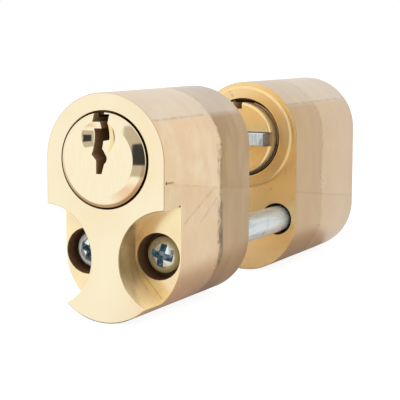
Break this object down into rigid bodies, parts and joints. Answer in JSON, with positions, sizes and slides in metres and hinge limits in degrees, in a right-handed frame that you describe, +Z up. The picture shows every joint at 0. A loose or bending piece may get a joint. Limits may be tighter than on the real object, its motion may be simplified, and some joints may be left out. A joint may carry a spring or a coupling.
{
  "type": "oval cylinder",
  "caption": "Double oval lock cylinder: two oval brass halves with keyed plugs, joined through the lock case by screws and smooth posts.",
  "frame": {"origin": "middle of the whole cylinder's bounding box, half way between the two halves", "axes": "+Y runs through the door from the inside half (with the screws) to the outside half, +Z up towards the plugs, +X to the right as seen from the inside half's face"},
  "size_m": [0.022, 0.094, 0.0382],
  "materials": {
    "satin_brass": "drawn and machined satin",
    "polished_brass": "polished",
    "dark_steel": "oiled spring steel",
    "bright_steel": "sheared bright",
    "zinc_plate": "bright zinc plate",
    "nickel_silver": "turned"
  },
  "bodies": {
    "root": {"inside_body": "satin_brass", "inside_spring_1": "bright_steel", "inside_chamber_plug_1": "satin_brass", "inside_spring_2": "bright_steel", "inside_chamber_plug_2": "satin_brass", "inside_spring_3": "bright_steel", "inside_chamber_plug_3": "satin_brass", "inside_spring_4": "bright_steel", "inside_chamber_plug_4": "satin_brass", "inside_spring_5": "bright_steel", "inside_chamber_plug_5": "satin_brass", "outside_body": "satin_brass", "outside_spring_1": "bright_steel", "outside_chamber_plug_1": "satin_brass", "outside_spring_2": "bright_steel", "outside_chamber_plug_2": "satin_brass", "outside_spring_3": "bright_steel", "outside_chamber_plug_3": "satin_brass", "outside_spring_4": "bright_steel", "outside_chamber_plug_4": "satin_brass", "outside_spring_5": "bright_steel", "outside_chamber_plug_5": "satin_brass", "connecting_screw_right": "zinc_plate", "connecting_post_right": "zinc_plate", "connecting_screw_left": "zinc_plate", "connecting_post_left": "zinc_plate"},
    "inside_plug_group": {"inside_plug": "polished_brass", "inside_retaining_clip": "dark_steel", "inside_tail_bar": "bright_steel", "inside_tail_pin": "bright_steel"},
    "inside_key_pin_1_group": {"inside_key_pin_1": "nickel_silver"},
    "inside_driver_pin_1_group": {"inside_driver_pin_1": "nickel_silver"},
    "inside_key_pin_2_group": {"inside_key_pin_2": "nickel_silver"},
    "inside_driver_pin_2_group": {"inside_driver_pin_2": "nickel_silver"},
    "inside_key_pin_3_group": {"inside_key_pin_3": "nickel_silver"},
    "inside_driver_pin_3_group": {"inside_driver_pin_3": "nickel_silver"},
    "inside_key_pin_4_group": {"inside_key_pin_4": "nickel_silver"},
    "inside_driver_pin_4_group": {"inside_driver_pin_4": "nickel_silver"},
    "inside_key_pin_5_group": {"inside_key_pin_5": "nickel_silver"},
    "inside_driver_pin_5_group": {"inside_driver_pin_5": "nickel_silver"},
    "outside_plug_group": {"outside_plug": "polished_brass", "outside_retaining_clip": "dark_steel", "outside_tail_bar": "bright_steel", "outside_tail_pin": "bright_steel"},
    "outside_key_pin_1_group": {"outside_key_pin_1": "nickel_silver"},
    "outside_driver_pin_1_group": {"outside_driver_pin_1": "nickel_silver"},
    "outside_key_pin_2_group": {"outside_key_pin_2": "nickel_silver"},
    "outside_driver_pin_2_group": {"outside_driver_pin_2": "nickel_silver"},
    "outside_key_pin_3_group": {"outside_key_pin_3": "nickel_silver"},
    "outside_driver_pin_3_group": {"outside_driver_pin_3": "nickel_silver"},
    "outside_key_pin_4_group": {"outside_key_pin_4": "nickel_silver"},
    "outside_driver_pin_4_group": {"outside_driver_pin_4": "nickel_silver"},
    "outside_key_pin_5_group": {"outside_key_pin_5": "nickel_silver"},
    "outside_driver_pin_5_group": {"outside_driver_pin_5": "nickel_silver"}
  },
  "joints": [
    {"name": "inside_plug_turn", "type": "hinge", "parent": "root", "child": "inside_plug_group", "pos_m": [0, 0, 0.00805], "axis": [0, 1, 0], "continuous": true},
    {"name": "inside_key_pin_1_lift", "type": "slide", "parent": "inside_plug_group", "child": "inside_key_pin_1_group", "axis": [0, 0, 1], "range_m": [0, 0.001]},
    {"name": "inside_driver_pin_1_press", "type": "slide", "parent": "root", "child": "inside_driver_pin_1_group", "axis": [0, 0, -1], "range_m": [0, 0.0025], "stiffness_N_per_m": 120, "springref_m": -0.003, "deforming": ["inside_spring_1"]},
    {"name": "inside_key_pin_2_lift", "type": "slide", "parent": "inside_plug_group", "child": "inside_key_pin_2_group", "axis": [0, 0, 1], "range_m": [0, 0.001]},
    {"name": "inside_driver_pin_2_press", "type": "slide", "parent": "root", "child": "inside_driver_pin_2_group", "axis": [0, 0, -1], "range_m": [0, 0.0025], "stiffness_N_per_m": 120, "springref_m": -0.003, "deforming": ["inside_spring_2"]},
    {"name": "inside_key_pin_3_lift", "type": "slide", "parent": "inside_plug_group", "child": "inside_key_pin_3_group", "axis": [0, 0, 1], "range_m": [0, 0.001]},
    {"name": "inside_driver_pin_3_press", "type": "slide", "parent": "root", "child": "inside_driver_pin_3_group", "axis": [0, 0, -1], "range_m": [0, 0.0025], "stiffness_N_per_m": 120, "springref_m": -0.003, "deforming": ["inside_spring_3"]},
    {"name": "inside_key_pin_4_lift", "type": "slide", "parent": "inside_plug_group", "child": "inside_key_pin_4_group", "axis": [0, 0, 1], "range_m": [0, 0.001]},
    {"name": "inside_driver_pin_4_press", "type": "slide", "parent": "root", "child": "inside_driver_pin_4_group", "axis": [0, 0, -1], "range_m": [0, 0.0025], "stiffness_N_per_m": 120, "springref_m": -0.003, "deforming": ["inside_spring_4"]},
    {"name": "inside_key_pin_5_lift", "type": "slide", "parent": "inside_plug_group", "child": "inside_key_pin_5_group", "axis": [0, 0, 1], "range_m": [0, 0.001]},
    {"name": "inside_driver_pin_5_press", "type": "slide", "parent": "root", "child": "inside_driver_pin_5_group", "axis": [0, 0, -1], "range_m": [0, 0.0025], "stiffness_N_per_m": 120, "springref_m": -0.003, "deforming": ["inside_spring_5"]},
    {"name": "outside_plug_turn", "type": "hinge", "parent": "root", "child": "outside_plug_group", "pos_m": [0, 0, 0.00805], "axis": [0, 1, 0], "continuous": true},
    {"name": "outside_key_pin_1_lift", "type": "slide", "parent": "outside_plug_group", "child": "outside_key_pin_1_group", "axis": [0, 0, 1], "range_m": [0, 0.001]},
    {"name": "outside_driver_pin_1_press", "type": "slide", "parent": "root", "child": "outside_driver_pin_1_group", "axis": [0, 0, -1], "range_m": [0, 0.0025], "stiffness_N_per_m": 120, "springref_m": -0.003, "deforming": ["outside_spring_1"]},
    {"name": "outside_key_pin_2_lift", "type": "slide", "parent": "outside_plug_group", "child": "outside_key_pin_2_group", "axis": [0, 0, 1], "range_m": [0, 0.001]},
    {"name": "outside_driver_pin_2_press", "type": "slide", "parent": "root", "child": "outside_driver_pin_2_group", "axis": [0, 0, -1], "range_m": [0, 0.0025], "stiffness_N_per_m": 120, "springref_m": -0.003, "deforming": ["outside_spring_2"]},
    {"name": "outside_key_pin_3_lift", "type": "slide", "parent": "outside_plug_group", "child": "outside_key_pin_3_group", "axis": [0, 0, 1], "range_m": [0, 0.001]},
    {"name": "outside_driver_pin_3_press", "type": "slide", "parent": "root", "child": "outside_driver_pin_3_group", "axis": [0, 0, -1], "range_m": [0, 0.0025], "stiffness_N_per_m": 120, "springref_m": -0.003, "deforming": ["outside_spring_3"]},
    {"name": "outside_key_pin_4_lift", "type": "slide", "parent": "outside_plug_group", "child": "outside_key_pin_4_group", "axis": [0, 0, 1], "range_m": [0, 0.001]},
    {"name": "outside_driver_pin_4_press", "type": "slide", "parent": "root", "child": "outside_driver_pin_4_group", "axis": [0, 0, -1], "range_m": [0, 0.0025], "stiffness_N_per_m": 120, "springref_m": -0.003, "deforming": ["outside_spring_4"]},
    {"name": "outside_key_pin_5_lift", "type": "slide", "parent": "outside_plug_group", "child": "outside_key_pin_5_group", "axis": [0, 0, 1], "range_m": [0, 0.001]},
    {"name": "outside_driver_pin_5_press", "type": "slide", "parent": "root", "child": "outside_driver_pin_5_group", "axis": [0, 0, -1], "range_m": [0, 0.0025], "stiffness_N_per_m": 120, "springref_m": -0.003, "deforming": ["outside_spring_5"]}
  ]
}
